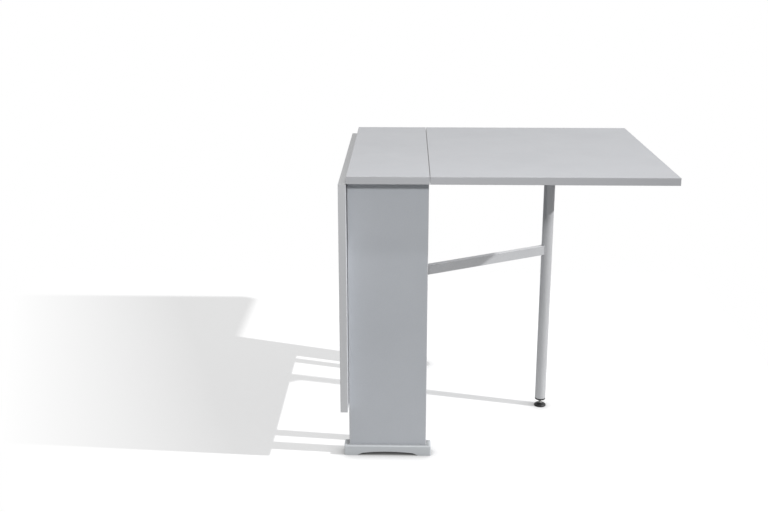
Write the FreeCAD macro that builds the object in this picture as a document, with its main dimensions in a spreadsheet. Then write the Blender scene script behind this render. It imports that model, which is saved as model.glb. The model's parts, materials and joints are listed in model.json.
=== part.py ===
"""Free-standing gateleg table with a narrow pedestal and two drop leaves.

Modelled as photographed: the right leaf is raised on its swung-out gate and the left leaf hangs.
X runs to the right along the leaves, Y away from the front panel, Z up. The origin lies on the floor
midway between the two shoes. The plan is unchanged by a half turn about Z, apart from the pose.
Lengths are millimetres, angles degrees.
"""
import FreeCAD
import Part
import Sketcher
import os

# Driving dimensions, one cell each
SIZES = {
    "table_height": 750,
    "table_depth": 700,
    "top_width": 202,
    "leaf_reach": 598,
    "board_thickness": 19,
    "seam_gap": 1,
    "edging_thickness": 2,
    "edging_round": 1,
    "panel_side_setback": 1,
    "panel_thickness": 19,
    "panel_setback": 35,
    "panel_edging_thickness": 2,
    "panel_edging_round": 1.6,
    "spine_thickness": 16,
    "spine_bottom": 240,
    "spine_edging_thickness": 1,
    "shoe_side_margin": 13,
    "shoe_height": 27,
    "shoe_margin": 10,
    "shoe_round": 3,
    "arch_width": 160,
    "arch_shoulder_run": 14,
    "arch_shoulder_height": 6.5,
    "arch_height": 10.5,
    "hinge_length": 60,
    "hinge_inset": 46,
    "hinge_plate_width": 30,
    "hinge_plate_thickness": 2,
    "hinge_corner_round": 4,
    "hinge_barrel_radius": 2.25,
    "hinge_barrel_clearance": 0.5,
    "hinge_groove_spare": 1,
    "hinge_pin_radius": 1.1,
    "hinge_play": 0.05,
    "knuckle_gap": 0.4,
    "hinge_screw_inset": 18,
    "hinge_screw_pitch": 40,
    "tube_radius": 15,
    "tube_wall": 1.5,
    "post_gap": 4,
    "post_inset": 57,
    "folded_leg_inset": 62,
    "crossbar_bottom": 458,
    "crossbar_height": 25,
    "crossbar_width": 15,
    "crossbar_wall": 1.5,
    "cap_flange": 3,
    "cap_chamfer": 1,
    "cap_spigot": 15,
    "insert_flange": 5,
    "insert_chamfer": 1,
    "insert_spigot": 25,
    "insert_height": 20,
    "stud_radius": 4,
    "stud_length": 42,
    "stud_seat": 4,
    "thread_play": 0.05,
    "pad_radius": 16.5,
    "pad_rim": 3.5,
    "pad_shoulder_radius": 15,
    "pad_shoulder": 5,
    "hub_radius": 7.5,
    "hub_height": 9,
    "collar_clearance": 0.6,
    "collar_height": 10,
    "collar_gap": 0.3,
    "bearing_wall": 5,
    "bearing_height": 25,
    "bearing_play": 0.05,
    "bearing_ear_reach": 34,
    "bearing_ear_thickness": 8,
    "bearing_corner_round": 4,
    "bearing_screw_inset": 7,
    "upper_bearing_drop": 50,
    "lower_bearing_rise": 15,
    "rest_thickness": 9,
    "rest_gap": 0.2,
    "rest_width": 50,
    "rest_ramp_run": 15,
    "rest_ramp_thickness": 4,
    "stop_gap": 0.3,
    "stop_thickness": 12,
    "stop_lip": 14,
    "rest_screw_pitch": 36,
    "bracket_leg": 30,
    "bracket_width": 20,
    "bracket_thickness": 2,
    "bracket_bend": 1.5,
    "bracket_corner_round": 4,
    "bracket_inset": 49,
    "bracket_screw_inset": 18,
    "spine_bracket_rise": 100,
    "spine_bracket_drop": 111,
    "dowel_radius": 4,
    "dowel_length": 30,
    "dowel_in_shoe": 15,
    "dowel_in_top": 12,
    "dowel_in_panel": 12,
    "panel_dowel_inset": 21,
    "spine_dowel_inset": 60,
    "screw_radius": 1.75,
    "screw_head_radius": 3.3,
    "screw_head_height": 1.5,
    "screw_tip": 2,
    "screw_hole_entry": 1,
    "short_screw_length": 12,
    "long_screw_length": 18,
    "shoe_screw_radius": 3.5,
    "shoe_screw_head_radius": 5,
    "shoe_screw_head_height": 3,
    "shoe_screw_length": 50,
    "shoe_screw_recess": 14,
    "shoe_screw_x": 42,
    "fastener_fit": 0.05,
}

# Positions and lengths that follow from the driving dimensions
PLACES = {
    "underside": "=size.table_height - size.board_thickness",
    "half_depth": "=size.table_depth / 2",
    "half_top": "=size.top_width / 2",
    "panel_outer": "=size.table_depth / 2 - size.panel_setback",
    "panel_inner": "=panel_outer - size.panel_thickness",
    "panel_height": "=underside - size.shoe_height",
    "half_panel": "=half_top - size.panel_side_setback",
    "panel_dowel_x": "=half_panel - size.panel_dowel_inset",
    "bracket_x": "=half_panel - size.bracket_inset",
    "half_spine": "=size.spine_thickness / 2",
    "shoe_depth": "=size.panel_thickness + 2 * size.shoe_margin",
    "half_shoe": "=half_panel + size.shoe_side_margin",
    "arch_half": "=size.arch_width / 2",
    "arch_crown_half": "=arch_half - size.arch_shoulder_run",
    "arch_crown_rise": "=size.arch_height - size.arch_shoulder_height",
    "arch_radius": "=(arch_crown_half ^ 2 + arch_crown_rise ^ 2) / (2 * arch_crown_rise)",
    "pin_rise": "=size.hinge_barrel_radius - size.hinge_plate_thickness",
    "hinge_groove_radius": "=size.hinge_barrel_radius + size.hinge_barrel_clearance",
    "hinge_notch_radius": "=sqrt(2) * size.hinge_barrel_radius + size.hinge_barrel_clearance",
    "hinge_x": "=half_top + size.seam_gap / 2",
    "hinge_z": "=underside + pin_rise",
    "hinge_spacing": "=panel_inner - size.hinge_inset",
    "knuckle": "=(size.hinge_length - 4 * size.knuckle_gap) / 5",
    "leaf_start": "=size.seam_gap / 2",
    "leaf_end": "=leaf_start + size.leaf_reach",
    "bore_radius": "=size.tube_radius - size.tube_wall",
    "post_x": "=half_spine + size.post_gap + size.tube_radius",
    "post_y": "=panel_inner - size.post_inset",
    "gate_reach": "=panel_inner - size.folded_leg_inset + post_y",
    "gate_open_angle": "=asin(post_y / gate_reach)",
    "leg_from_hinge": "=post_x + gate_reach * cos(gate_open_angle) - hinge_x",
    "tube_bottom": "=size.insert_height + size.insert_flange",
    "cap_top": "=underside - size.rest_thickness - size.rest_gap",
    "tube_top": "=cap_top - size.cap_flange",
    "bearing_radius": "=size.tube_radius + size.bearing_wall",
    "bearing_centre": "=size.post_gap + size.tube_radius",
    "bearing_waist": "=sqrt(bearing_radius ^ 2 - (bearing_centre - size.bearing_ear_thickness) ^ 2)",
    "bearing_screw_y": "=size.bearing_ear_reach - size.bearing_screw_inset",
    "upper_bearing_z": "=underside - size.upper_bearing_drop",
    "lower_bearing_z": "=size.spine_bottom + size.lower_bearing_rise",
    "collar_radius": "=bearing_centre - size.collar_clearance",
    "collar_z": "=lower_bearing_z + size.bearing_height + size.collar_gap",
    "stop_face": "=size.tube_radius + size.stop_gap",
    "stop_back": "=stop_face + size.stop_thickness",
    "ramp_end": "=size.tube_radius + size.rest_ramp_run",
    "bracket_bend_outer": "=size.bracket_bend + size.bracket_thickness",
}

doc = FreeCAD.newDocument("gateleg_table")
nodes = []

NEAR = 1e-6
X_AXIS = FreeCAD.Vector(1, 0, 0)
Y_AXIS = FreeCAD.Vector(0, 1, 0)
Z_AXIS = FreeCAD.Vector(0, 0, 1)
NO_TURN = FreeCAD.Rotation()
HALF_TURN = FreeCAD.Rotation(Z_AXIS, 180)
TO_FRONT = FreeCAD.Rotation(Z_AXIS, -90)
TO_BACK = FreeCAD.Rotation(Z_AXIS, 90)
ALONG_Y = FreeCAD.Rotation(X_AXIS, -90)
ALONG_MINUS_Y = FreeCAD.Rotation(X_AXIS, 90)
UPRIGHT = ALONG_MINUS_Y
ALONG_MINUS_X = FreeCAD.Rotation(Y_AXIS, -90)
HANGING = FreeCAD.Rotation(Y_AXIS, -90).multiply(HALF_TURN)
AGAINST_SPINE = FreeCAD.Rotation(Y_AXIS, 90)


def fill_sheet(name, cells):
    """A sheet with one named cell per entry."""
    sheet = doc.addObject("Spreadsheet::Sheet", name)
    for row, (alias, content) in enumerate(cells.items(), start=1):
        sheet.set(f"A{row}", alias)
        sheet.set(f"B{row}", str(content))
        sheet.setAlias(f"B{row}", alias)
    doc.recompute()
    return sheet


size_sheet = fill_sheet("size", SIZES)
fill_sheet("place", PLACES)


def value(expression):
    """The present number behind an expression on the sheets."""
    return float(size_sheet.evalExpression(expression))


def bind(obj, **expressions):
    """Ties properties of an object to the sheets."""
    for name, expression in expressions.items():
        obj.setExpression(name, expression)
    return obj


def put(obj, x="0", y="0", z="0", turn=NO_TURN, angle=None):
    """Places an object. An angle, given as an expression, turns it about Z instead of a fixed turn."""
    obj.Placement = FreeCAD.Placement(FreeCAD.Vector(), FreeCAD.Rotation(Z_AXIS, 1) if angle else turn)
    for axis, expression in zip("xyz", (x, y, z)):
        obj.setExpression(f"Placement.Base.{axis}", expression)
    if angle:
        obj.setExpression("Placement.Rotation.Angle", angle)
    return obj


def node(label, obj):
    """Marks an object as a piece of the table under its own name."""
    obj.Label = label
    nodes.append(obj)
    return obj


def box(length, width, height, x="0", y="0", z="0"):
    solid = doc.addObject("Part::Box", "block")
    bind(solid, Length=length, Width=width, Height=height)
    return put(solid, x, y, z)


def rod(radius, length, x="0", y="0", z="0", turn=NO_TURN):
    solid = doc.addObject("Part::Cylinder", "rod")
    bind(solid, Radius=radius, Height=length)
    return put(solid, x, y, z, turn)


def fuse(*shapes):
    joined = doc.addObject("Part::MultiFuse", "joined")
    joined.Shapes = list(shapes)
    return joined


def cut(base, tool):
    remainder = doc.addObject("Part::Cut", "remainder")
    remainder.Base = base
    remainder.Tool = tool
    return remainder


def group(members):
    """Separate solids kept together as one object."""
    cluster = doc.addObject("Part::Compound", "cluster")
    cluster.Links = list(members)
    return cluster


def copy_of(source, x="0", y="0", z="0", turn=NO_TURN):
    link = doc.addObject("App::Link", "copy")
    link.LinkedObject = source
    return put(link, x, y, z, turn)


def arc_middle(start, end, radius):
    """A point on the short arc between two corners, on the right of the way if the radius is positive."""
    half = (end - start) * 0.5
    side = FreeCAD.Vector(half.y, -half.x, 0).normalize()
    rise = abs(radius) - (radius ** 2 - half.Length ** 2) ** 0.5
    return start + half + side * (rise if radius > 0 else -rise)


def sketch(body, plane, corners, offset="0", hole=None):
    """A closed outline on one of the body's own planes.

    A corner is a pair of expressions. A third one makes the run to the next corner an arc of that radius,
    which bulges outwards on a loop that goes anticlockwise, or inwards if the radius is negative.
    A hole is a circle: its centre's two expressions and its radius.
    """
    drawing = body.newObject("Sketcher::SketchObject", "outline")
    support = next(f for f in body.Origin.OriginFeatures if f.Role == plane)
    drawing.AttachmentSupport = (support, "")
    drawing.MapMode = "FlatFace"
    bind(drawing, **{"AttachmentOffset.Base.z": offset})
    points = [FreeCAD.Vector(value(c[0]), value(c[1]), 0) for c in corners]
    ends = []
    for index, corner in enumerate(corners):
        start, end = points[index], points[(index + 1) % len(points)]
        if len(corner) == 3:
            radius = value(corner[2])
            geometry = drawing.addGeometry(Part.Arc(start, arc_middle(start, end, radius), end))
            ends.append((1, 2) if radius > 0 else (2, 1))
            rule = drawing.addConstraint(Sketcher.Constraint("Radius", geometry, abs(radius)))
            drawing.setExpression(f"Constraints[{rule}]", f"abs({corner[2]})")
        else:
            drawing.addGeometry(Part.LineSegment(start, end))
            ends.append((1, 2))
    for index, corner in enumerate(corners):
        following = (index + 1) % len(corners)
        drawing.addConstraint(
            Sketcher.Constraint("Coincident", index, ends[index][1], following, ends[following][0])
        )
        for kind, expression in zip(("DistanceX", "DistanceY"), corner):
            rule = drawing.addConstraint(
                Sketcher.Constraint(kind, -1, 1, index, ends[index][0], value(expression))
            )
            drawing.setExpression(f"Constraints[{rule}]", expression)
    if hole:
        centre = FreeCAD.Vector(value(hole[0]), value(hole[1]), 0)
        ring = drawing.addGeometry(Part.Circle(centre, Z_AXIS, value(hole[2])))
        for kind, expression in zip(("DistanceX", "DistanceY"), hole):
            rule = drawing.addConstraint(Sketcher.Constraint(kind, -1, 1, ring, 3, value(expression)))
            drawing.setExpression(f"Constraints[{rule}]", expression)
        rule = drawing.addConstraint(Sketcher.Constraint("Radius", ring, value(hole[2])))
        drawing.setExpression(f"Constraints[{rule}]", hole[2])
    return drawing


def extrude(plane, corners, length, offset="0", hole=None):
    """A body padded from one outline. XZ_Plane pads towards -Y, YZ_Plane towards +X, XY_Plane towards +Z."""
    body = doc.addObject("PartDesign::Body", "body")
    drawing = sketch(body, plane, corners, offset, hole)
    pad = body.newObject("PartDesign::Pad", "pad")
    pad.Profile = drawing
    bind(pad, Length=length)
    return body


def revolve(corners):
    """A body turned about Z from an outline of radius and height pairs."""
    body = doc.addObject("PartDesign::Body", "turned")
    drawing = sketch(body, "XZ_Plane", corners)
    turned = body.newObject("PartDesign::Revolution", "turn")
    turned.Profile = drawing
    turned.ReferenceAxis = (drawing, ["V_Axis"])
    turned.Angle = 360
    return body


def is_upright(edge):
    return edge.BoundBox.ZLength > NEAR and max(edge.BoundBox.XLength, edge.BoundBox.YLength) < NEAR


def round_edges(body, radius, chosen):
    """Rounds the edges of a body's last feature that the test picks."""
    doc.recompute()
    last = body.Tip
    picked = [f"Edge{i}" for i, edge in enumerate(last.Shape.Edges, start=1) if chosen(edge)]
    rounding = body.newObject("PartDesign::Fillet", "round")
    rounding.Base = (last, picked)
    bind(rounding, Radius=radius)
    return body


def screw(length, radius="size.screw_radius", head_radius="size.screw_head_radius",
          head_height="size.screw_head_height"):
    """A countersunk wood screw, its head's flat face at the origin and its tip towards +Z."""
    return revolve([
        ("0", "0"),
        (head_radius, "0"),
        (radius, head_height),
        (radius, f"{length} - size.screw_tip"),
        ("0", length),
    ])


def screw_hole(length, entry="size.screw_hole_entry", radius="size.screw_radius",
               head_radius="size.screw_head_radius", head_height="size.screw_head_height"):
    """The space a screw needs, open on the head's side by the entry length."""
    return revolve([
        ("0", f"-({entry})"),
        (f"{head_radius} + size.fastener_fit", f"-({entry})"),
        (f"{head_radius} + size.fastener_fit", "0"),
        (f"{radius} + size.fastener_fit", head_height),
        (f"{radius} + size.fastener_fit", f"{length} + size.fastener_fit"),
        ("0", f"{length} + size.fastener_fit"),
    ])


short_screw = screw("size.short_screw_length")
short_hole = screw_hole("size.short_screw_length")
long_screw = screw("size.long_screw_length")
long_hole = screw_hole("size.long_screw_length")
SHOE_SCREW = {
    "radius": "size.shoe_screw_radius",
    "head_radius": "size.shoe_screw_head_radius",
    "head_height": "size.shoe_screw_head_height",
}
shoe_screw = screw("size.shoe_screw_length", **SHOE_SCREW)
shoe_hole = screw_hole("size.shoe_screw_length", "size.shoe_screw_recess", **SHOE_SCREW)
dowel = rod("size.dowel_radius", "size.dowel_length")
# A copy takes a place of its own, so the hole's offset along its axis is kept inside a group
dowel_hole = group([rod(
    "size.dowel_radius + size.fastener_fit",
    "size.dowel_length + 2 * size.fastener_fit",
    z="-size.fastener_fit",
)])

# Frames that several pieces share: where a hinge axis or a gate post stands, and how its pieces are turned
SIDES = {
    "right": {
        "hinge": {"x": "place.hinge_x", "z": "place.hinge_z"},
        "leaf": {"x": "place.hinge_x", "z": "place.hinge_z"},
        "gate": {"x": "place.post_x", "y": "-place.post_y", "angle": "place.gate_open_angle"},
        "spine_face": {"x": "place.half_spine", "y": "-place.post_y"},
    },
    "left": {
        "hinge": {"x": "-place.hinge_x", "z": "place.hinge_z", "turn": HALF_TURN},
        "leaf": {"x": "-place.hinge_x", "z": "place.hinge_z", "turn": HANGING},
        "gate": {"x": "-place.post_x", "y": "place.post_y", "turn": TO_FRONT},
        "spine_face": {"x": "-place.half_spine", "y": "place.post_y", "turn": HALF_TURN},
    },
}


def edging_strip(thickness, width, length, radius):
    """A strip along Y, its glued face at X = 0, with its two outer arrises rounded."""
    return extrude("XZ_Plane", [
        ("0", "0"),
        (f"{thickness} - {radius}", "0", radius),
        (thickness, radius),
        (thickness, f"{width} - {radius}", radius),
        (f"{thickness} - {radius}", width),
        ("0", width),
    ], length, f"-({length}) / 2")


def edged_top(start, end, bottom):
    """The core and the four edging strips of a top board that reaches from start to end along X."""
    strip = "size.edging_thickness"
    core = box(
        f"{end} - ({start}) - 2 * {strip}", f"size.table_depth - 2 * {strip}", "size.board_thickness",
        f"{start} + {strip}", f"-place.half_depth + {strip}", bottom,
    )
    side_length = f"size.table_depth - 2 * {strip}"
    end_length = f"{end} - ({start})"
    middle = f"({start} + {end}) / 2"
    runs = [
        (side_length, {"x": f"{end} - {strip}"}),
        (side_length, {"x": f"{start} + {strip}", "turn": HALF_TURN}),
        (end_length, {"x": middle, "y": f"-place.half_depth + {strip}", "turn": TO_FRONT}),
        (end_length, {"x": middle, "y": f"place.half_depth - {strip}", "turn": TO_BACK}),
    ]
    strips = [
        put(edging_strip(strip, "size.board_thickness", length, "size.edging_round"), z=bottom, **spot)
        for length, spot in runs
    ]
    return core, group(strips)


def hinge_screw_spots(direction):
    """Where the screws of one leaf's three hinges lie, on the leaf's side or the fixed side of the axis."""
    return [
        {
            "x": f"{direction} * size.hinge_screw_inset",
            "y": f"{station} * place.hinge_spacing + {end} * size.hinge_screw_pitch / 2",
            "z": "-size.hinge_barrel_radius",
        }
        for station in (-1, 0, 1)
        for end in (-1, 1)
    ]


def knuckle_row(indices, radius, spare):
    """Lengths of the hinge barrel, numbered 0 to 4 along Y, each longer by the spare at both ends."""
    row = []
    for index in indices:
        middle = f"{index - 2} * (place.knuckle + size.knuckle_gap)"
        low = f"{middle} - place.knuckle / 2 - ({spare})"
        row.append(rod(radius, f"place.knuckle + 2 * ({spare})", y=low, turn=ALONG_Y))
    return row


def hinge_plates(direction, own, others, bore):
    """The three plates on one side of a leaf's hinge axis, each level with the bottom of its own knuckles."""
    reach = "size.hinge_plate_width"
    half = "size.hinge_length / 2"
    corner = "size.hinge_corner_round"
    plate = extrude("XY_Plane", [
        ("0", f"-{half}"),
        (f"{reach} - {corner}", f"-{half}", corner),
        (reach, f"-{half} + {corner}"),
        (reach, f"{half} - {corner}", corner),
        (f"{reach} - {corner}", half),
        ("0", half),
    ], "size.hinge_plate_thickness", "-size.hinge_barrel_radius")
    put(plate, turn=NO_TURN if direction > 0 else HALF_TURN)
    blank = fuse(plate, *knuckle_row(own, "size.hinge_barrel_radius", "0"))
    notches = knuckle_row(others, "place.hinge_notch_radius", "size.knuckle_gap")
    pin_bore = rod(bore, "2 * size.hinge_length", y="-size.hinge_length", turn=ALONG_Y)
    cut_plate = cut(cut(blank, group(notches)), pin_bore)
    three = group([copy_of(cut_plate, y=f"{station} * place.hinge_spacing") for station in (-1, 0, 1)])
    return cut(three, group([copy_of(short_hole, **spot) for spot in hinge_screw_spots(direction)]))


def bracket_spots():
    """Corner brackets under the fixed top and on the spine's two faces."""
    panel_face = "place.panel_inner"
    under_top = [
        {"x": f"{side} * place.bracket_x", "y": f"{end} * {panel_face}", "z": "place.underside", "turn": turn}
        for side in (-1, 1)
        for end, turn in ((-1, NO_TURN), (1, HALF_TURN))
    ]
    low = "size.spine_bottom + size.spine_bracket_rise"
    high = "place.underside - size.spine_bracket_drop"
    on_spine = [
        {"x": f"{end} * place.half_spine", "y": f"{end} * {panel_face}", "z": height, "turn": turn}
        for height in (low, high)
        for end, turn in ((-1, AGAINST_SPINE), (1, HALF_TURN.multiply(AGAINST_SPINE)))
    ]
    return under_top + on_spine


def dowel_spots():
    """Dowels by joint: panels to the top, panels to the shoes, and the spine to the panels."""
    mid_panel = "(place.panel_inner + place.panel_outer) / 2"
    low = "size.spine_bottom + size.spine_dowel_inset"
    high = "place.underside - size.spine_dowel_inset"
    to_top, to_shoes, to_panels = [], [], []
    for end in (-1, 1):
        for side in (-1, 1):
            spot = {"x": f"{side} * place.panel_dowel_x", "y": f"{end} * {mid_panel}"}
            to_top.append({**spot, "z": "place.underside + size.dowel_in_top - size.dowel_length"})
            to_shoes.append({**spot, "z": "size.shoe_height - size.dowel_in_shoe"})
        for height in (low, high):
            to_panels.append({
                "y": f"{end} * (place.panel_inner + size.dowel_in_panel)", "z": height,
                "turn": ALONG_Y if end < 0 else ALONG_MINUS_Y,
            })
    return to_top, to_shoes, to_panels


def shoe_screw_spots():
    mid_panel = "(place.panel_inner + place.panel_outer) / 2"
    return [
        {"x": f"{side} * size.shoe_screw_x", "y": f"{end} * {mid_panel}", "z": "size.shoe_screw_recess"}
        for end in (-1, 1)
        for side in (-1, 1)
    ]


def bearing_screw_spots():
    """Screws of one bearing, from the spine's face, towards the spine."""
    return [
        {
            "x": "size.bearing_ear_thickness", "y": f"{end} * place.bearing_screw_y",
            "z": "size.bearing_height / 2", "turn": ALONG_MINUS_X,
        }
        for end in (-1, 1)
    ]


def bracket_pair(fastener):
    """A corner bracket's two fasteners, one through its level leg and one through its upright leg."""
    return group([
        copy_of(fastener, y="size.bracket_screw_inset", z="-size.bracket_thickness"),
        copy_of(fastener, y="size.bracket_thickness", z="-size.bracket_screw_inset", turn=ALONG_MINUS_Y),
    ])


def bearing_heights():
    return {"upper": "place.upper_bearing_z", "lower": "place.lower_bearing_z"}


# Grooves for the three hinge barrels of one leaf, about the hinge axis
barrel_grooves = group([
    rod("place.hinge_groove_radius", "size.hinge_length + 2 * size.hinge_groove_spare",
        y=f"{station} * place.hinge_spacing - size.hinge_length / 2 - size.hinge_groove_spare", turn=ALONG_Y)
    for station in (-1, 0, 1)
])

# Spaces for every fastener of the pedestal, cut from its boards
to_top, to_shoes, to_panels = dowel_spots()
bracket_holes = bracket_pair(short_hole)
bearing_holes = group([copy_of(long_hole, **spot) for spot in bearing_screw_spots()])
hinge_holes = group([copy_of(short_hole, **spot) for spot in hinge_screw_spots(-1)])
pedestal_holes = group(
    [copy_of(dowel_hole, **spot) for spot in to_top + to_shoes + to_panels]
    + [copy_of(shoe_hole, **spot) for spot in shoe_screw_spots()]
    + [copy_of(bracket_holes, **spot) for spot in bracket_spots()]
    + [copy_of(bearing_holes, z=height, **side["spine_face"])
       for side in SIDES.values() for height in bearing_heights().values()]
    + [copy_of(hinge_holes, **side["hinge"]) for side in SIDES.values()]
)

# Fixed top
top_core, top_strips = edged_top("-place.half_top", "place.half_top", "place.underside")
top_grooves = group([copy_of(barrel_grooves, **side["hinge"]) for side in SIDES.values()])
node("fixed_top_board", cut(cut(top_core, pedestal_holes), top_grooves))
node("fixed_top_edging", cut(top_strips, top_grooves))


def end_panel(name, sign):
    """An end panel and its two upright edging strips, on the front for -1 and on the back for 1."""
    strip = "size.panel_edging_thickness"
    low_y = "-place.panel_outer" if sign < 0 else "place.panel_inner"
    core = box(
        f"2 * (place.half_panel - {strip})", "size.panel_thickness", "place.panel_height",
        f"-place.half_panel + {strip}", low_y, "size.shoe_height",
    )
    node(f"{name}_panel", cut(core, pedestal_holes))
    middle = "size.shoe_height + place.panel_height / 2"
    section = (strip, "size.panel_thickness", "place.panel_height", "size.panel_edging_round")
    strips = []
    for side, turn, base_y in (
        (1, UPRIGHT, f"{low_y} + size.panel_thickness"),
        (-1, HALF_TURN.multiply(UPRIGHT), low_y),
    ):
        glue_line = f"{side} * (place.half_panel - {strip})"
        strips.append(put(edging_strip(*section), glue_line, base_y, middle, turn))
    node(f"{name}_panel_edging", group(strips))


def shoe(name, sign):
    """A shoe under an end panel, its sole cut by a shallow arch with sloping shoulders."""
    half = "place.half_shoe"
    body = extrude("XZ_Plane", [
        (f"-{half}", "0"),
        ("-place.arch_half", "0"),
        ("-place.arch_crown_half", "size.arch_shoulder_height", "-place.arch_radius"),
        ("0", "size.arch_height", "-place.arch_radius"),
        ("place.arch_crown_half", "size.arch_shoulder_height"),
        ("place.arch_half", "0"),
        (half, "0"),
        (half, "size.shoe_height"),
        (f"-{half}", "size.shoe_height"),
    ], "place.shoe_depth", "-place.shoe_depth / 2")
    top = value("size.shoe_height")
    reach = value(half)

    def upper_or_corner(edge):
        middle = edge.CenterOfMass
        upper = abs(middle.z - top) < NEAR
        corner = is_upright(edge) and abs(abs(middle.x) - reach) < NEAR
        return upper or corner

    round_edges(body, "size.shoe_round", upper_or_corner)
    put(body, y=f"{sign} * (place.panel_inner + place.panel_outer) / 2")
    node(f"{name}_shoe", cut(body, pedestal_holes))


for end_name, end_sign in (("front", -1), ("back", 1)):
    end_panel(end_name, end_sign)
    shoe(end_name, end_sign)

# Spine between the end panels
spine_low = "size.spine_bottom + size.spine_edging_thickness"
spine_core = box(
    "size.spine_thickness", "2 * place.panel_inner", f"place.underside - ({spine_low})",
    "-place.half_spine", "-place.panel_inner", spine_low,
)
node("spine_panel", cut(spine_core, pedestal_holes))
node("spine_edging", box(
    "size.spine_thickness", "2 * place.panel_inner", "size.spine_edging_thickness",
    "-place.half_spine", "-place.panel_inner", "size.spine_bottom",
))

# Dowels, screws and corner brackets of the pedestal
for dowel_label, spots in (
    ("panel_top_dowels", to_top), ("panel_shoe_dowels", to_shoes), ("spine_dowels", to_panels),
):
    node(dowel_label, group([copy_of(dowel, **spot) for spot in spots]))
node("shoe_screws", group([copy_of(shoe_screw, **spot) for spot in shoe_screw_spots()]))


def bracket_blank():
    """A corner bracket bent from flat steel, with the free corners of its two legs rounded."""
    leg = "size.bracket_leg"
    thickness = "size.bracket_thickness"
    body = extrude("YZ_Plane", [
        ("place.bracket_bend_outer", "0", "place.bracket_bend_outer"),
        ("0", "-place.bracket_bend_outer"),
        ("0", f"-{leg}"),
        (thickness, f"-{leg}"),
        (thickness, "-place.bracket_bend_outer", "-size.bracket_bend"),
        ("place.bracket_bend_outer", f"-{thickness}"),
        (leg, f"-{thickness}"),
        (leg, "0"),
    ], "size.bracket_width", "-size.bracket_width / 2")
    reach = value(leg)
    half_width = value("size.bracket_width / 2")

    def free_corner(edge):
        middle = edge.CenterOfMass
        at_end = abs(middle.y - reach) < NEAR or abs(middle.z + reach) < NEAR
        return at_end and abs(abs(middle.x) - half_width) < NEAR

    return round_edges(body, "size.bracket_corner_round", free_corner)


bracket = cut(bracket_blank(), bracket_holes)
bracket_screws = bracket_pair(short_screw)
node("corner_brackets", group([copy_of(bracket, **spot) for spot in bracket_spots()]))
node("bracket_screws", group([copy_of(bracket_screws, **spot) for spot in bracket_spots()]))


def bearing():
    """A bearing block: two ears on the spine's face and a round nose about the post."""
    ear = "size.bearing_ear_reach"
    thickness = "size.bearing_ear_thickness"
    body = extrude("XY_Plane", [
        ("0", f"-{ear}"),
        (thickness, f"-{ear}"),
        (thickness, "-place.bearing_waist", "place.bearing_radius"),
        ("place.bearing_centre + place.bearing_radius", "0", "place.bearing_radius"),
        (thickness, "place.bearing_waist"),
        (thickness, ear),
        ("0", ear),
    ], "size.bearing_height", hole=("place.bearing_centre", "0", "size.tube_radius + size.bearing_play"))
    reach = value(ear)
    face = value(thickness)

    def ear_corner(edge):
        middle = edge.CenterOfMass
        return is_upright(edge) and abs(abs(middle.y) - reach) < NEAR and abs(middle.x - face) < NEAR

    return round_edges(body, "size.bearing_corner_round", ear_corner)


bearing_block = cut(bearing(), bearing_holes)
bearing_screws = group([copy_of(long_screw, **spot) for spot in bearing_screw_spots()])
for side_name, side in SIDES.items():
    for height_name, height in bearing_heights().items():
        block = group([copy_of(bearing_block)])
        node(f"{side_name}_{height_name}_bearing", put(block, z=height, **side["spine_face"]))
node("bearing_screws", group([
    copy_of(bearing_screws, z=height, **side["spine_face"])
    for side in SIDES.values() for height in bearing_heights().values()
]))

# Fixed halves of the hinges
FIXED_KNUCKLES = (0, 2, 4)
LEAF_KNUCKLES = (1, 3)
for side_name, side in SIDES.items():
    plates = hinge_plates(-1, FIXED_KNUCKLES, LEAF_KNUCKLES, "size.hinge_pin_radius")
    node(f"{side_name}_hinge_fixed_plates", put(plates, **side["hinge"]))
    pins = group([
        rod("size.hinge_pin_radius", "size.hinge_length",
            y=f"{station} * place.hinge_spacing - size.hinge_length / 2", turn=ALONG_Y)
        for station in (-1, 0, 1)
    ])
    node(f"{side_name}_hinge_pins", put(pins, **side["hinge"]))
    fixed_screws = group([copy_of(short_screw, **spot) for spot in hinge_screw_spots(-1)])
    node(f"{side_name}_hinge_fixed_screws", put(fixed_screws, **side["hinge"]))


def leg_rest():
    """The block under a leaf that the leg's cap slides on to, up a ramp, until the lip stops the leg."""
    return extrude("YZ_Plane", [
        ("-place.stop_back", "0"),
        ("-place.stop_back", "-size.rest_thickness - size.stop_lip"),
        ("-place.stop_face", "-size.rest_thickness - size.stop_lip"),
        ("-place.stop_face", "-size.rest_thickness"),
        ("size.tube_radius", "-size.rest_thickness"),
        ("place.ramp_end", "-size.rest_ramp_thickness"),
        ("place.ramp_end", "0"),
    ], "size.rest_width", "-size.rest_width / 2")


def at_leg(obj):
    """Sets a piece under a leaf where the open gate's leg stands, turned with the gate's arm."""
    return put(obj, x="place.leg_from_hinge", z="-place.pin_rise", angle="place.gate_open_angle")


REST_SCREW_SPOTS = [
    {"x": f"{end} * size.rest_screw_pitch / 2", "z": "-size.rest_thickness"} for end in (-1, 1)
]


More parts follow.
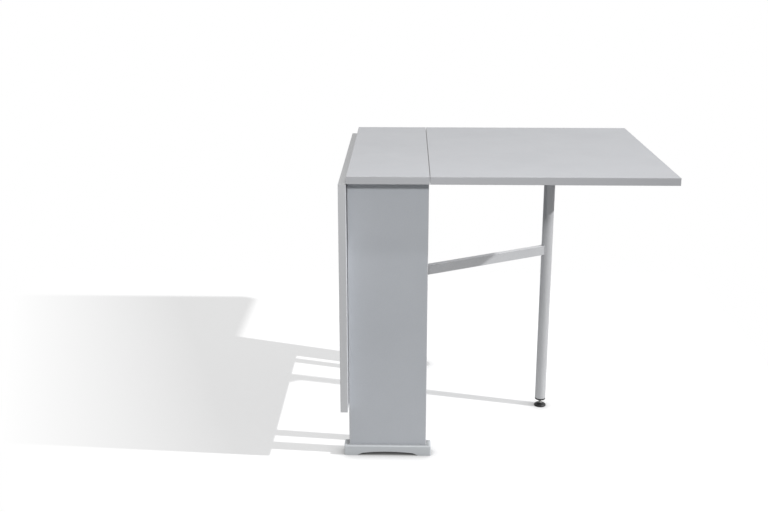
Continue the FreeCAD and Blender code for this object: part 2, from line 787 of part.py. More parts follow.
def leaf(name, frame):
    """A drop leaf about its hinge axis: board, edging, hinge plates, and the leg rest on its underside."""
    core, strips = edged_top("place.leaf_start", "place.leaf_end", "-place.pin_rise")
    rest_holes = group([copy_of(long_hole, **spot) for spot in REST_SCREW_SPOTS])
    hinge_side_holes = [copy_of(short_hole, **spot) for spot in hinge_screw_spots(1)]
    drilled = cut(core, group(hinge_side_holes + [at_leg(group([copy_of(rest_holes)]))]))
    node(f"{name}_leaf_board", put(cut(drilled, barrel_grooves), **frame))
    node(f"{name}_leaf_edging", put(cut(strips, barrel_grooves), **frame))
    plates = hinge_plates(1, LEAF_KNUCKLES, FIXED_KNUCKLES, "size.hinge_pin_radius + size.hinge_play")
    node(f"{name}_hinge_leaf_plates", put(plates, **frame))
    leaf_screws = group([copy_of(short_screw, **spot) for spot in hinge_screw_spots(1)])
    node(f"{name}_hinge_leaf_screws", put(leaf_screws, **frame))
    rest = at_leg(cut(leg_rest(), rest_holes))
    node(f"{name}_leg_rest", put(group([rest]), **frame))
    rest_screws = at_leg(group([copy_of(long_screw, **spot) for spot in REST_SCREW_SPOTS]))
    node(f"{name}_rest_screws", put(group([rest_screws]), **frame))


def tube(x):
    """An upright of a gate, open at both ends."""
    height = "place.tube_top - place.tube_bottom"
    wall = rod("size.tube_radius", height, x=x, z="place.tube_bottom")
    bore = rod("place.bore_radius", height, x=x, z="place.tube_bottom")
    return cut(wall, bore)


def crossbar():
    """A rectangular tube between the two uprights, its ends shaped to their round walls."""
    half = "size.crossbar_width / 2"
    wall = "size.crossbar_wall"
    outer = box(
        "place.gate_reach", "size.crossbar_width", "size.crossbar_height",
        y=f"-{half}", z="size.crossbar_bottom",
    )
    inner = box(
        "place.gate_reach", f"size.crossbar_width - 2 * {wall}", f"size.crossbar_height - 2 * {wall}",
        y=f"-{half} + {wall}", z=f"size.crossbar_bottom + {wall}",
    )
    uprights = [
        rod("size.tube_radius", "place.tube_top - place.tube_bottom", x=x, z="place.tube_bottom")
        for x in ("0", "place.gate_reach")
    ]
    return cut(cut(outer, inner), group(uprights))


def tube_cap():
    """A plug in a tube's top end with a flat, chamfered flange."""
    return revolve([
        ("0", "-size.cap_spigot"),
        ("place.bore_radius", "-size.cap_spigot"),
        ("place.bore_radius", "0"),
        ("size.tube_radius", "0"),
        ("size.tube_radius", "size.cap_flange - size.cap_chamfer"),
        ("size.tube_radius - size.cap_chamfer", "size.cap_flange"),
        ("0", "size.cap_flange"),
    ])


def foot_insert():
    """A plug in a tube's bottom end with a through thread for the foot's stud."""
    thread = "size.stud_radius + size.thread_play"
    return revolve([
        (thread, "-size.insert_flange"),
        ("size.tube_radius - size.insert_chamfer", "-size.insert_flange"),
        ("size.tube_radius", "size.insert_chamfer - size.insert_flange"),
        ("size.tube_radius", "0"),
        ("place.bore_radius", "0"),
        ("place.bore_radius", "size.insert_spigot"),
        (thread, "size.insert_spigot"),
    ])


def foot_pad():
    """A round pad on the floor, its hub rising to a blind seat for the stud."""
    return revolve([
        ("0", "0"),
        ("size.pad_radius", "0"),
        ("size.pad_radius", "size.pad_rim"),
        ("size.pad_shoulder_radius", "size.pad_shoulder"),
        ("size.hub_radius", "size.hub_height"),
        ("size.stud_radius", "size.hub_height"),
        ("size.stud_radius", "size.stud_seat"),
        ("0", "size.stud_seat"),
    ])


def collar():
    """A ring fixed on the post just above its lower bearing."""
    ring = rod("place.collar_radius", "size.collar_height", z="place.collar_z")
    return cut(ring, rod("size.tube_radius", "size.collar_height", z="place.collar_z"))


def gate(name, frame):
    """A gate about its post's axis, its arm along X, with its plugs, collar and levelling feet."""
    uprights = {"post": "0", "leg": "place.gate_reach"}
    node(f"{name}_pivot_post", put(tube(uprights["post"]), **frame))
    node(f"{name}_leg_tube", put(tube(uprights["leg"]), **frame))
    node(f"{name}_crossbar", put(crossbar(), **frame))
    cap = tube_cap()
    caps = group([copy_of(cap, x=x, z="place.tube_top") for x in uprights.values()])
    node(f"{name}_tube_caps", put(caps, **frame))
    plug = foot_insert()
    plugs = group([copy_of(plug, x=x, z="place.tube_bottom") for x in uprights.values()])
    node(f"{name}_foot_inserts", put(plugs, **frame))
    node(f"{name}_post_collar", put(collar(), **frame))
    for upright, x in uprights.items():
        stud = rod("size.stud_radius", "size.stud_length", x=x, z="size.stud_seat")
        node(f"{name}_{upright}_foot_stud", put(group([stud]), **frame))
        pad = put(foot_pad(), x=x)
        node(f"{name}_{upright}_foot_pad", put(group([pad]), **frame))


for side_name, side in SIDES.items():
    leaf(side_name, side["leaf"])
    gate(side_name, side["gate"])

doc.recompute()
failed = [o.Label for o in doc.Objects if "Invalid" in o.State or "Error" in o.State]
if failed:
    raise RuntimeError(f"failed to compute: {failed}")
broken = [o.Label for o in nodes if o.Shape.isNull() or not o.Shape.isValid() or not o.Shape.Solids]
if broken:
    raise RuntimeError(f"bad shapes: {broken}")

os.makedirs("parts", exist_ok=True)
for piece in nodes:
    piece.Shape.exportStep(f"parts/{piece.Label}.step")
print(f"{len(nodes)} nodes, {sum(len(piece.Shape.Solids) for piece in nodes)} solids")
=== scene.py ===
"""Looks of the free-standing gateleg table: finishes, threads, screw recesses, weld beads, light and camera.

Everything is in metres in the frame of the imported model: X along the leaves, Y away from the front panel,
Z up, with the origin on the floor midway between the shoes.
"""
import json
import math

import bmesh
import bpy
from mathutils import Matrix, Vector


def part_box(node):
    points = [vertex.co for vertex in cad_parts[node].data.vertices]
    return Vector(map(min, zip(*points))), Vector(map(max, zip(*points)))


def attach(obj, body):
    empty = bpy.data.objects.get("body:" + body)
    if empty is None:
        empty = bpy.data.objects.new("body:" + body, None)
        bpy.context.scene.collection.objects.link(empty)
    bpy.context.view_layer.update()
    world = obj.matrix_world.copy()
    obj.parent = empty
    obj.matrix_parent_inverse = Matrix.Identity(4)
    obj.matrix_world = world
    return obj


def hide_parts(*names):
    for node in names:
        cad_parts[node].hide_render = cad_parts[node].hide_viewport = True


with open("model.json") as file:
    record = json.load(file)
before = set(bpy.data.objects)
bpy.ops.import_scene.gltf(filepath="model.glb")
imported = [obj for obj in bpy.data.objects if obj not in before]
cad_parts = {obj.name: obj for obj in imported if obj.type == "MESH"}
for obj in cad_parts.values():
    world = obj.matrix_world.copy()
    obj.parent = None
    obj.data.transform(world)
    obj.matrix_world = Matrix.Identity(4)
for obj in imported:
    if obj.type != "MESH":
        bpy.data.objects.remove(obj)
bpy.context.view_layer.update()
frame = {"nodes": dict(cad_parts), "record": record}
NODES = frame["nodes"]
BODY_OF = {node: body for body, nodes in frame["record"]["behaviour"]["bodies"].items() for node in nodes}
SLOT_OF = {row["node"]: row["material_slot"] for row in frame["record"]["subparts"]}
MM = 0.001

# Camera, from points of the table measured in the photograph
CAMERA_PLACE = (0.048, -2.852, 1.298)
CAMERA_PITCH = math.radians(16.6)
CAMERA_TURN = math.radians(1.3)
CAMERA_LENS = 50

# Lamps and sky. The side lamp's place is where the floor shadow in the photograph points back to.
SIDE_LAMP_PLACE = (2.63, -0.57, 1.89)
SIDE_LAMP_RADIUS = 0.02
SIDE_LAMP_STRENGTH = 30.2
FRONT_LAMP_PLACE = (0.06, -1.45, 1.328)
FRONT_LAMP_RADIUS = 0.06
FRONT_LAMP_POWER = 31
SKY_STRENGTH = 0.36

# Floor: near the table it takes light and shadow over a partial glow, and further away it glows white.
# The near part reaches this far from the origin, then fades over a width. Its left edge leans with Y.
FLOOR_HALF = 30
FLOOR_COLOUR = 0.82
NEAR_GLOW = 0.47
NEAR_LEFT, NEAR_RIGHT, NEAR_FRONT, NEAR_BACK = 0.5, 0.9, 0.9, 0.98
LEFT_FADE = 0.63
LEFT_FADE_SLANT = 0.33
OTHER_FADE = 0.3
CONTACT_SHADE_REACH = 0.06

# Painted shade on a shoe near its panel, its scuffs by height, and painted light on tubes by upward tilt
PANEL_SHADE_REACH = (3 * MM, 10.5 * MM)
SCUFF_REACH = (1 * MM, 16 * MM)
TOP_LIGHT_TILT = (0.4, 0.9)

# Reading the plain screws: points closer than this are one, points this near an end belong to it,
# and a radius under this share of the head's is the tip's and not the shank's
WELD_REACH = 0.0001 * MM
END_REACH = 0.05 * MM
TIP_RADIUS_SHARE = 0.2

# Threads, with the core as a share of the outer radius
THREAD_SIDES = 28
ROWS_PER_PITCH = 6
STUD_PITCH = 1.25 * MM
STUD_CORE_SHARE = 0.82
SCREW_CORE_SHARE = 0.66

# Screws: pitch and tip as shares of the shank's radius, the plain shank as a share of the length,
# and the recess as shares of the head's radius, with its floor as a share of its mouth
SCREW_PITCH_SHARE = 0.8
SCREW_TIP_SHARE = 1.6
PLAIN_SHANK_SHARE = 0.22
RECESS_REACH_SHARE = 0.58
RECESS_WIDTH_SHARE = 0.15
RECESS_DEPTH_SHARE = 0.5
RECESS_FLOOR_SHARE = 0.4

# Weld beads where a crossbar meets its two uprights
BEAD_RADIUS = 1.5 * MM
BEAD_RIPPLE = 0.22 * MM
BEAD_RIPPLE_PITCH = 1.7 * MM
BEAD_STEP = 0.55 * MM
BEAD_SIDES = 8


class Field:
    """A socket in one material's nodes. Arithmetic on it adds Math nodes, and node() adds any other kind."""

    def __init__(self, tree, socket=None):
        self.tree = tree
        self.socket = socket

    def node(self, kind, settings=None, inputs=None, output=0):
        """Adds a node: its settings first, then its inputs as numbers, colours or links."""
        made = self.tree.nodes.new(kind)
        for name, setting in (settings or {}).items():
            setattr(made, name, setting)
        for name, given in (inputs or {}).items():
            if isinstance(given, Field):
                self.tree.links.new(given.socket, made.inputs[name])
            else:
                made.inputs[name].default_value = given
        return Field(self.tree, made.outputs[output])

    def math(self, operation, first, second=0.0):
        """A Math node on one or two values."""
        return self.node("ShaderNodeMath", {"operation": operation}, {0: first, 1: second})

    def __add__(self, other):
        return self.math("ADD", self, other)

    def __sub__(self, other):
        return self.math("SUBTRACT", self, other)

    def __rsub__(self, other):
        return self.math("SUBTRACT", other, self)

    def __mul__(self, other):
        return self.math("MULTIPLY", self, other)

    __radd__ = __add__
    __rmul__ = __mul__

    def __abs__(self):
        return self.math("ABSOLUTE", self)

    def over(self, other):
        """The greater of two values."""
        return self.math("MAXIMUM", self, other)

    def clamped(self):
        """This value, held between 0 and 1."""
        return self.node("ShaderNodeMapRange", {}, {0: self})

    def within(self, low, high):
        """0 below the low value, 1 above the high one, and a smooth rise between them."""
        settings = {"interpolation_type": "SMOOTHSTEP"}
        return self.node("ShaderNodeMapRange", settings, {0: self, 1: low, 2: high})

    def between(self, first, second):
        """A colour from the first to the second as this value goes from 0 to 1."""
        settings = {"data_type": "RGBA"}
        return self.node("ShaderNodeMix", settings, {0: self, 6: first, 7: second}, output=2)

    def along_axes(self):
        """The three coordinates of this position or direction."""
        split = self.node("ShaderNodeSeparateXYZ", {}, {0: self}).socket.node
        return [Field(self.tree, split.outputs[axis]) for axis in "XYZ"]

    def stretched(self, x, y, z):
        """This position, scaled along each axis."""
        return self.node("ShaderNodeVectorMath", {"operation": "MULTIPLY"}, {0: self, 1: (x, y, z)})

    def noise(self, scale, detail, roughness=0.5):
        """Smooth noise at this position, about 0 to 1."""
        inputs = {"Vector": self, "Scale": scale, "Detail": detail, "Roughness": roughness}
        return self.node("ShaderNodeTexNoise", {}, inputs)

    def cells(self, scale):
        """A value for each small cell at this position."""
        colour = self.node("ShaderNodeTexVoronoi", {}, {"Vector": self, "Scale": scale}, output=1)
        return colour.node("ShaderNodeSeparateColor", {}, {0: colour})


def start_finish(name):
    """A new material, the position on its surface, and its shader."""
    material = bpy.data.materials.new(name)
    material.use_nodes = True
    tree = material.node_tree
    position = Field(tree).node("ShaderNodeTexCoord", output="Object")
    return material, position, tree.nodes["Principled BSDF"]


def set_shader(shader, **sockets):
    """Sets or links the shader's sockets, named in lower case with underscores."""
    for name, given in sockets.items():
        socket = shader.inputs[name.replace("_", " ").title().replace("Ior", "IOR")]
        if isinstance(given, Field):
            given.tree.links.new(given.socket, socket)
        else:
            socket.default_value = given


def bumped(height, depth, strength):
    """A normal from a height that runs from 0 to 1 over this depth."""
    return height.node("ShaderNodeBump", {}, {"Strength": strength, "Distance": depth, "Height": height})


def grey_laminate(name, deep, pale):
    """Aluminium-grey melamine on the boards: pearl grain, faint clouds and a press plate's satin texture."""
    material, position, shader = start_finish(name)
    pearl = position.cells(1400)
    cloud = position.noise(7, detail=4)
    rubbed = position.noise(22, detail=5, roughness=0.6)
    plate = position.noise(900, detail=2)
    tone = 0.5 + (pearl - 0.5) * 0.5 + (cloud - 0.5) * 0.9
    set_shader(
        shader,
        base_color=tone.between(deep, pale),
        roughness=0.4 + (rubbed - 0.5) * 0.12 + (pearl - 0.5) * 0.05,
        normal=bumped(plate, 0.04 * MM, 0.5),
    )
    return material


def grey_edging(across, deep, pale):
    """Satin edge band with fine draw lines along the strip, spaced along the given axis."""
    material, position, shader = start_finish(f"grey_edging_{across}")
    fine = {axis: 1.0 if axis == across else 0.02 for axis in "xyz"}
    lines = position.stretched(**fine).noise(2600, detail=3)
    rubbed = position.noise(60, detail=4)
    set_shader(
        shader,
        base_color=lines.between(deep, pale),
        roughness=0.33 + (rubbed - 0.5) * 0.12,
        normal=bumped(lines, 0.03 * MM, 0.4),
    )
    return material


def grey_shoe():
    """Foil-wrapped shoe: a lighter satin skin, scuffed low, and painted shade round the panel's foot."""
    material, position, shader = start_finish("grey_shoe")
    x, y, height = position.along_axes()
    low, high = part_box("back_panel_edging")
    past_side = abs(x) - high.x
    past_face = abs(abs(y) - (low.y + high.y) / 2) - (high.y - low.y) / 2
    # Painted shade: the shoe goes dark grey near its panel's foot, where shade falls in the crevice.
    by_panel = 1 - past_side.over(past_face).within(*PANEL_SHADE_REACH)
    painted_shade = by_panel * (0.7 + position.noise(240, detail=4) * 0.5)
    rubs = position.noise(190, detail=5, roughness=0.65).within(0.58, 0.74)
    scuff = rubs * (1 - height.within(*SCUFF_REACH))
    grain = position.stretched(0.05, 1, 1).noise(1500, detail=3)
    clean = grain.between((0.566, 0.590, 0.611, 1), (0.628, 0.653, 0.674, 1))
    shaded_skin = (painted_shade * 0.6).between(clean, (0.17, 0.17, 0.175, 1))
    set_shader(
        shader,
        base_color=(scuff * 0.5).between(shaded_skin, (0.33, 0.33, 0.33, 1)),
        roughness=0.36 + scuff * 0.25,
        normal=bumped(grain, 0.02 * MM, 0.4),
    )
    return material


def silver_tube():
    """Silver powder coat on gates: flakes in orange-peel skin, and painted light on faces that look up."""
    material, position, shader = start_finish("silver_tube")
    flake = position.cells(2600)
    peel = position.noise(520, detail=2)
    drift = position.noise(14, detail=3)
    tone = 0.5 + (flake - 0.5) * 0.8 + (drift - 0.5) * 0.4
    coat = tone.between((0.465, 0.47, 0.482, 1), (0.625, 0.632, 0.645, 1))
    upward = position.node("ShaderNodeNewGeometry", output="Normal").along_axes()[2]
    # Painted light: faces that look up are made paler, as if lit from above.
    painted_top_light = upward.within(*TOP_LIGHT_TILT) * (0.75 + (peel - 0.5) * 0.3)
    set_shader(
        shader,
        base_color=painted_top_light.between(coat, (0.93, 0.93, 0.94, 1)),
        metallic=0.04 + flake * 0.08,
        specular_ior_level=0.3,
        roughness=0.4 + (peel - 0.5) * 0.12,
        normal=bumped(peel, 0.06 * MM, 0.5),
    )
    return material


def black_plastic():
    """Moulded black plastic with the fine spark-eroded texture of its mould."""
    material, position, shader = start_finish("black_plastic")
    erosion = position.noise(1900, detail=3)
    wear = position.noise(75, detail=5, roughness=0.6)
    set_shader(
        shader,
        base_color=wear.between((0.007, 0.007, 0.0075, 1), (0.018, 0.018, 0.019, 1)),
        roughness=0.5 + (wear - 0.5) * 0.2,
        normal=bumped(erosion, 0.05 * MM, 0.6),
    )
    return material


def zinc_steel():
    """Zinc-plated steel with a faint straw and blue tint and rolling marks."""
    material, position, shader = start_finish("zinc_steel")
    tint = position.noise(55, detail=4)
    rolled = position.stretched(1, 0.08, 1).noise(1800, detail=3)
    spangle = position.cells(700)
    set_shader(
        shader,
        base_color=tint.between((0.44, 0.43, 0.39, 1), (0.44, 0.46, 0.48, 1)),
        metallic=1.0,
        roughness=0.33 + (rolled - 0.5) * 0.16 + (spangle - 0.5) * 0.08,
        normal=bumped(rolled, 0.02 * MM, 0.5),
    )
    return material


def beech_dowel():
    """Raw beech: pale brown with short dark ray flecks."""
    material, position, shader = start_finish("beech_dowel")
    grain = position.stretched(1, 1, 0.08).noise(700, detail=4)
    fleck = position.stretched(1, 1, 0.25).noise(1600, detail=2).within(0.6, 0.7)
    wood = grain.between((0.50, 0.33, 0.19, 1), (0.66, 0.47, 0.29, 1))
    set_shader(
        shader,
        base_color=(fleck * 0.5).between(wood, (0.36, 0.21, 0.11, 1)),
        roughness=0.62 + (grain - 0.5) * 0.15,
        normal=bumped(grain, 0.05 * MM, 0.5),
    )
    return material


FINISHES = {
    "grey_laminate": grey_laminate("grey_laminate", (0.527, 0.539, 0.568, 1), (0.605, 0.617, 0.646, 1)),
    "grey_shoe": grey_shoe(),
    "silver_tube": silver_tube(),
    "black_plastic": black_plastic(),
    "zinc_steel": zinc_steel(),
    "beech_dowel": beech_dowel(),
}
# Painted shade: the upright boards take a darker, cooler copy of the tops' laminate.
SHADED_UPRIGHT_LAMINATE = grey_laminate("shaded_upright_laminate", (0.477, 0.499, 0.531, 1), (0.548, 0.570, 0.604, 1))

# Edge bands by the axis across their draw lines. Their different greys are painted light and shade.
LIT_AND_SHADED_EDGINGS = {
    "x": grey_edging("x", (0.583, 0.590, 0.605, 1), (0.656, 0.664, 0.678, 1)),
    "y": grey_edging("y", (0.510, 0.518, 0.538, 1), (0.580, 0.588, 0.608, 1)),
    "z": grey_edging("z", (0.475, 0.482, 0.501, 1), (0.540, 0.547, 0.566, 1)),
}


def edging_axis(node):
    """The axis across an edging strip's draw lines, which is the axis through its board's thickness."""
    if "panel" in node:
        return "y"
    return "x" if node.startswith(("left", "spine")) else "z"


def finish_of(node):
    """The finish of a piece of the model. Uprights take a darker, cooler laminate copy as painted shade."""
    if SLOT_OF[node] == "grey_edging":
        return LIT_AND_SHADED_EDGINGS[edging_axis(node)]
    return SHADED_UPRIGHT_LAMINATE if node.endswith("_panel") else FINISHES[SLOT_OF[node]]


def give_finish(piece, material):
    """Makes a material the only one of a piece."""
    piece.data.materials.clear()
    piece.data.materials.append(material)


for node in SLOT_OF:
    give_finish(NODES[node], finish_of(node))


def neighbours(loop):
    """Each item of a closed loop, with the item after it."""
    return zip(loop, loop[1:] + loop[:1])


def skin(shape, rings):
    """Smooth faces from each ring of corners to the next."""
    for ring, following in zip(rings, rings[1:]):
        for (a, b), (c, d) in zip(neighbours(ring), neighbours(following)):
            face = shape.faces.new((a, b, d, c))
            face.smooth = True


def gather(total, shape, placement):
    """Moves a shape to its place in a larger one."""
    mesh = bpy.data.meshes.new("placed_shape")
    shape.to_mesh(mesh)
    shape.free()
    mesh.transform(placement)
    total.from_mesh(mesh)
    bpy.data.meshes.remove(mesh)


def add_piece(name, shape, body, slot):
    """A new piece from a shape, riding on a body, with the finish of a slot."""
    mesh = bpy.data.meshes.new(name)
    shape.to_mesh(mesh)
    shape.free()
    piece = bpy.data.objects.new(name, mesh)
    bpy.context.scene.collection.objects.link(piece)
    give_finish(piece, FINISHES[slot])
    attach(piece, body)
    return piece


def stand_in(node, shape):
    """A piece with cut detail that takes a plain node's place."""
    piece = add_piece(f"{node}_cut", shape, BODY_OF[node], SLOT_OF[node])
    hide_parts(node)


def islands(node):
    """The corner points of each separate solid of a node."""
    welded = bmesh.new()
    welded.from_mesh(NODES[node].data)
    bmesh.ops.remove_doubles(welded, verts=welded.verts, dist=WELD_REACH)
    reached = set()
    found = []
    for start in welded.verts:
        if start in reached:
            continue
        reached.add(start)
        front = [start]
        island = []
        while front:
            corner = front.pop()
            island.append(corner.co.copy())
            linked = [edge.other_vert(corner) for edge in corner.link_edges]
            fresh = [other for other in linked if other not in reached]
            reached.update(fresh)
            front += fresh
        found.append(island)
    welded.free()
    return found


def screw_seat(points):
    """A screw's size and place: its head's centre, the way it points, its length and its two radii."""
    low = Vector(min(point[axis] for point in points) for axis in range(3))
    high = Vector(max(point[axis] for point in points) for axis in range(3))
    size = high - low
    middle = (low + high) / 2
    along = max(range(3), key=lambda axis: size[axis])

    def radius_of(point):
        return Vector(point[axis] - middle[axis] for axis in range(3) if axis != along).length

    def end_radius(end):
        return max(radius_of(point) for point in points if abs(point[along] - end[along]) < END_REACH)

    head_low = end_radius(low) > end_radius(high)
    head_end = low if head_low else high
    head_radius = end_radius(head_end)
    centre = middle.copy()
    centre[along] = head_end[along]
    way = Vector((0, 0, 0))
    way[along] = 1 if head_low else -1
    micrometre_radii = {round(radius_of(point), 6) for point in points}
    shank_radius = min(radius for radius in micrometre_radii if radius > TIP_RADIUS_SHARE * head_radius)
    return centre, way, size[along], head_radius, shank_radius


def ring_of(shape, z, radius_at):
    """A ring of corners about Z, whose radius may change with the share of the turn."""
    corners = []
    for step in range(THREAD_SIDES):
        share = step / THREAD_SIDES
        angle = math.tau * share
        radius = radius_at(share)
        corners.append(shape.verts.new((radius * math.cos(angle), radius * math.sin(angle), z)))
    return corners


def ridge(z, share, pitch):
    """Height of a helical ridge, 0 in the groove and 1 on the crest."""
    return 1 - abs(2 * ((z / pitch - share) % 1) - 1)


def threaded_stud(radius, length):
    """A levelling foot's stud along Z with its thread cut from end to end and both ends chamfered."""
    shape = bmesh.new()
    core = radius * STUD_CORE_SHARE
    rows = round(length / STUD_PITCH * ROWS_PER_PITCH)
    rings = []
    for row in range(rows + 1):
        z = length * row / rows
        chamfer = core + min(z, length - z)

        def radius_at(share, z=z, chamfer=chamfer):
            return min(core + (radius - core) * ridge(z, share, STUD_PITCH), chamfer)

        rings.append(ring_of(shape, z, radius_at))
    skin(shape, rings)
    shape.faces.new(reversed(rings[0]))
    shape.faces.new(rings[-1])
    return shape


def screw_rings(shape, length, head_radius, radius):
    """Rings of a countersunk screw from its head at the origin almost to its tip, with a wood thread."""
    head_height = head_radius - radius
    core = radius * SCREW_CORE_SHARE
    pitch = radius * SCREW_PITCH_SHARE
    plain_end = head_height + PLAIN_SHANK_SHARE * length
    tip_length = SCREW_TIP_SHARE * radius
    rows = round((length - head_height) / pitch * ROWS_PER_PITCH)
    rings = [ring_of(shape, 0, lambda share: head_radius)]
    for row in range(rows):
        z = head_height + (length - head_height) * row / rows
        taper = min(1, (length - z) / tip_length)
        depth = max(0, min(1, (z - plain_end) / pitch))

        def radius_at(share, z=z, taper=taper, depth=depth):
            groove = (radius - core) * depth * (1 - ridge(z, share, pitch))
            return (radius - groove) * taper

        rings.append(ring_of(shape, z, radius_at))
    return rings


def cross_corners(shape, z, reach, half_width):
    """Corners of a cross about Z, anticlockwise."""
    arm = [(reach, -half_width, z), (reach, half_width, z), (half_width, half_width, z)]
    turns = [Matrix.Rotation(quarter * math.pi / 2, 3, "Z") for quarter in range(4)]
    return [shape.verts.new(turn @ Vector(corner)) for turn in turns for corner in arm]


def cut_recess(shape, head_radius):
    """Closes a screw's open head with a flat face round a tapered cross recess."""
    reach = head_radius * RECESS_REACH_SHARE
    half_width = head_radius * RECESS_WIDTH_SHARE
    depth = head_radius * RECESS_DEPTH_SHARE
    rim_edges = [edge for edge in shape.edges if edge.is_boundary]
    mouth = cross_corners(shape, 0, reach, half_width)
    bottom = cross_corners(shape, depth, reach * RECESS_FLOOR_SHARE, half_width * RECESS_FLOOR_SHARE)
    mouth_edges = [shape.edges.new(pair) for pair in neighbours(mouth)]
    bmesh.ops.triangle_fill(shape, edges=rim_edges + mouth_edges, use_beauty=True, normal=(0, 0, -1))
    for (a, b), (c, d) in zip(neighbours(mouth), neighbours(bottom)):
        shape.faces.new((a, b, d, c))
    shape.faces.new(bottom)


def wood_screw(length, head_radius, radius):
    """A countersunk screw, head at the origin and tip towards +Z, with a cross recess and a wood thread."""
    shape = bmesh.new()
    rings = screw_rings(shape, length, head_radius, radius)
    skin(shape, rings)
    tip = shape.verts.new((0, 0, length))
    for a, b in neighbours(rings[-1]):
        shape.faces.new((a, b, tip))
    cut_recess(shape, head_radius)
    bmesh.ops.recalc_face_normals(shape, faces=shape.faces)
    return shape


def cut_screws(node):
    """Screws with recesses and threads, in the places of a node's plain ones."""
    screws = bmesh.new()
    for points in islands(node):
        centre, way, length, head_radius, radius = screw_seat(points)
        turn = Vector((0, 0, 1)).rotation_difference(way).to_matrix().to_4x4()
        gather(screws, wood_screw(length, head_radius, radius), Matrix.Translation(centre) @ turn)
    stand_in(node, screws)


def cut_stud(node):
    """A threaded stud in the place of a foot's plain one."""
    low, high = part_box(node)
    stud = threaded_stud((high.x - low.x) / 2, high.z - low.z)
    foot = ((low.x + high.x) / 2, (low.y + high.y) / 2, low.z)
    bmesh.ops.translate(stud, verts=stud.verts, vec=foot)
    stand_in(node, stud)


def bead_path(tube_radius, half_width, low, high):
    """Points where a crossbar's outside meets an upright, with the upright on Z and the bar along X."""
    def at(y, z):
        return Vector((math.sqrt(tube_radius ** 2 - y ** 2), y, z))

    corners = [(-half_width, low), (half_width, low), (half_width, high), (-half_width, high)]
    points = []
    for (y0, z0), (y1, z1) in neighbours(corners):
        steps = max(2, round(math.hypot(y1 - y0, z1 - z0) / BEAD_STEP))
        points += [at(y0 + (y1 - y0) * i / steps, z0 + (z1 - z0) * i / steps) for i in range(steps)]
    return points


def weld_bead(path):
    """A rippled bead along a closed path."""
    shape = bmesh.new()
    rings = []
    travelled = 0.0
    for index, point in enumerate(path):
        before, after = path[index - 1], path[(index + 1) % len(path)]
        travelled += (point - before).length
        along = (after - before).normalized()
        from_tube = Vector((point.x, point.y, 0)).normalized()
        side = along.cross(from_tube).normalized()
        out = side.cross(along)
        radius = BEAD_RADIUS + BEAD_RIPPLE * math.cos(math.tau * travelled / BEAD_RIPPLE_PITCH)
        ring = []
        for step in range(BEAD_SIDES):
            angle = math.tau * step / BEAD_SIDES
            ring.append(shape.verts.new(point + (out * math.cos(angle) + side * math.sin(angle)) * radius))
        rings.append(ring)
    skin(shape, rings + rings[:1])
    bmesh.ops.recalc_face_normals(shape, faces=shape.faces)
    return shape


def crossbar_width():
    """Across a crossbar, taken from the folded gate's one, which lies along Y."""
    low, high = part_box("left_crossbar")
    return high.x - low.x


def upright_tube(node):
    """Centre and radius of a gate's upright tube."""
    low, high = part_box(node)
    return (low + high) / 2, (high.x - low.x) / 2


def weld_gate(side):
    """Beads at both ends of a gate's crossbar."""
    post, post_radius = upright_tube(f"{side}_pivot_post")
    leg, leg_radius = upright_tube(f"{side}_leg_tube")
    arm = leg - post
    low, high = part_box(f"{side}_crossbar")
    beads = bmesh.new()
    for centre, radius, direction in ((post, post_radius, arm), (leg, leg_radius, -arm)):
        bead = weld_bead(bead_path(radius, crossbar_width() / 2, low.z, high.z))
        turn = Matrix.Rotation(math.atan2(direction.y, direction.x), 4, "Z")
        gather(beads, bead, Matrix.Translation((centre.x, centre.y, 0)) @ turn)
    add_piece(f"{side}_gate_welds", beads, f"{side}_gate", "silver_tube")


for node in NODES:
    if node.endswith("_screws"):
        cut_screws(node)
    if node.endswith("_foot_stud"):
        cut_stud(node)
for side in ("right", "left"):
    weld_gate(side)


def seen_directly(field):
    """1 for rays from the camera, from gloss and through glass, and 0 for rays that carry light."""
    path = field.node("ShaderNodeLightPath").socket.node
    camera, glossy, through = (
        Field(field.tree, path.outputs[name])
        for name in ("Is Camera Ray", "Is Glossy Ray", "Is Transmission Ray")
    )
    return camera.over(glossy).over(through)


def floor_finish():
    """Matt white: shadow near the table, shade at its contacts, and a full white glow further away."""
    material, position, shader = start_finish("white_floor")
    grain = position.noise(300, detail=2)
    clear = position.node("ShaderNodeAmbientOcclusion", {}, {"Distance": CONTACT_SHADE_REACH}, output="AO")
    x, y, _ = position.along_axes()
    past_left = (-NEAR_LEFT - x - y * LEFT_FADE_SLANT) * (1 / LEFT_FADE)
    past_others = (x - NEAR_RIGHT).over(y - NEAR_BACK).over(-NEAR_FRONT - y) * (1 / OTHER_FADE)
    far = past_left.over(past_others).clamped()
    glow = NEAR_GLOW + far * (1 - NEAR_GLOW)
    set_shader(
        shader,
        base_color=clear * (1 - far) * FLOOR_COLOUR,
        roughness=0.7 + grain * 0.1,
        specular_ior_level=0.0,
        emission_color=clear * glow * seen_directly(position),
        emission_strength=1.0,
    )
    return material


def white_floor():
    """A wide floor under the table."""
    mesh = bpy.data.meshes.new("floor")
    corners = [(x * FLOOR_HALF, y * FLOOR_HALF, 0) for x, y in ((-1, -1), (1, -1), (1, 1), (-1, 1))]
    mesh.from_pydata(corners, [], [(0, 1, 2, 3)])
    floor = bpy.data.objects.new("floor", mesh)
    bpy.context.scene.collection.objects.link(floor)
    give_finish(floor, floor_finish())
    return floor


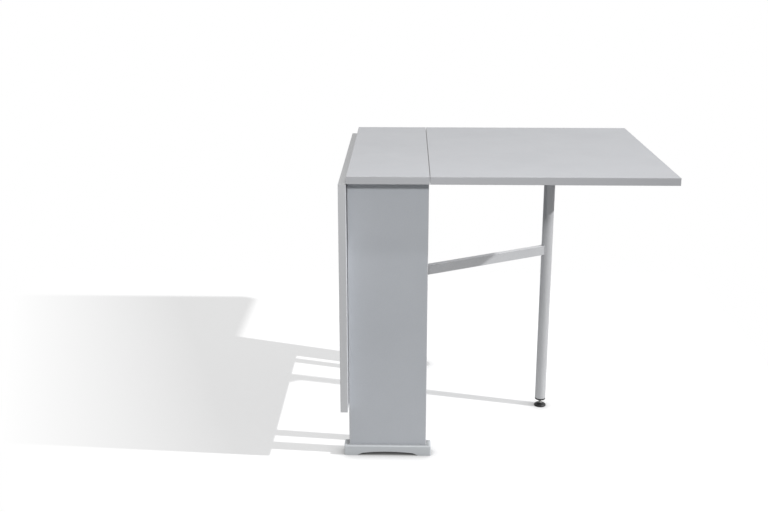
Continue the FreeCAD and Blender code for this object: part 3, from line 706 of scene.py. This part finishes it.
def white_sky():
    """An even white surround: full white to the eye, softer as light."""
    world = bpy.data.worlds.new("white_sky")
    world.use_nodes = True
    bpy.context.scene.world = world
    tree = world.node_tree
    background = tree.nodes["Background"]
    background.inputs["Color"].default_value = (1, 1, 1, 1)
    strength = seen_directly(Field(tree)) * (1 - SKY_STRENGTH) + SKY_STRENGTH
    tree.links.new(strength.socket, background.inputs["Strength"])


def side_lamp():
    """The lamp on the right that throws the table's shadow to the left, as bright near it as far away."""
    lamp = bpy.data.lights.new("side_lamp", "POINT")
    lamp.energy = 1
    lamp.shadow_soft_size = SIDE_LAMP_RADIUS
    lamp.use_nodes = True
    tree = lamp.node_tree
    inputs = {"Strength": SIDE_LAMP_STRENGTH}
    falloff = Field(tree).node("ShaderNodeLightFalloff", {}, inputs, output="Constant")
    tree.links.new(falloff.socket, tree.nodes["Emission"].inputs["Strength"])
    placed = bpy.data.objects.new("side_lamp", lamp)
    placed.location = SIDE_LAMP_PLACE
    bpy.context.scene.collection.objects.link(placed)


def front_lamp(floor):
    """A lamp in front, for the thin shade under the top. It spares the floor, which shows one shadow only."""
    lamp = bpy.data.lights.new("front_lamp", "POINT")
    lamp.energy = FRONT_LAMP_POWER
    lamp.shadow_soft_size = FRONT_LAMP_RADIUS
    placed = bpy.data.objects.new("front_lamp", lamp)
    placed.location = FRONT_LAMP_PLACE
    spared = bpy.data.collections.new("spared_by_front_lamp")
    spared.objects.link(floor)
    spared.collection_objects[0].light_linking.link_state = "EXCLUDE"
    placed.light_linking.receiver_collection = spared
    bpy.context.scene.collection.objects.link(placed)


def photo_camera():
    """The camera at the photograph's viewpoint, level from side to side and pitched down."""
    camera = bpy.data.cameras.new("camera")
    camera.lens = CAMERA_LENS
    placed = bpy.data.objects.new("camera", camera)
    placed.location = CAMERA_PLACE
    placed.rotation_euler = (math.pi / 2 - CAMERA_PITCH, 0, CAMERA_TURN)
    bpy.context.scene.collection.objects.link(placed)
    bpy.context.scene.camera = placed


floor = white_floor()
white_sky()
side_lamp()
front_lamp(floor)
photo_camera()
bpy.context.scene.view_settings.view_transform = "Standard"
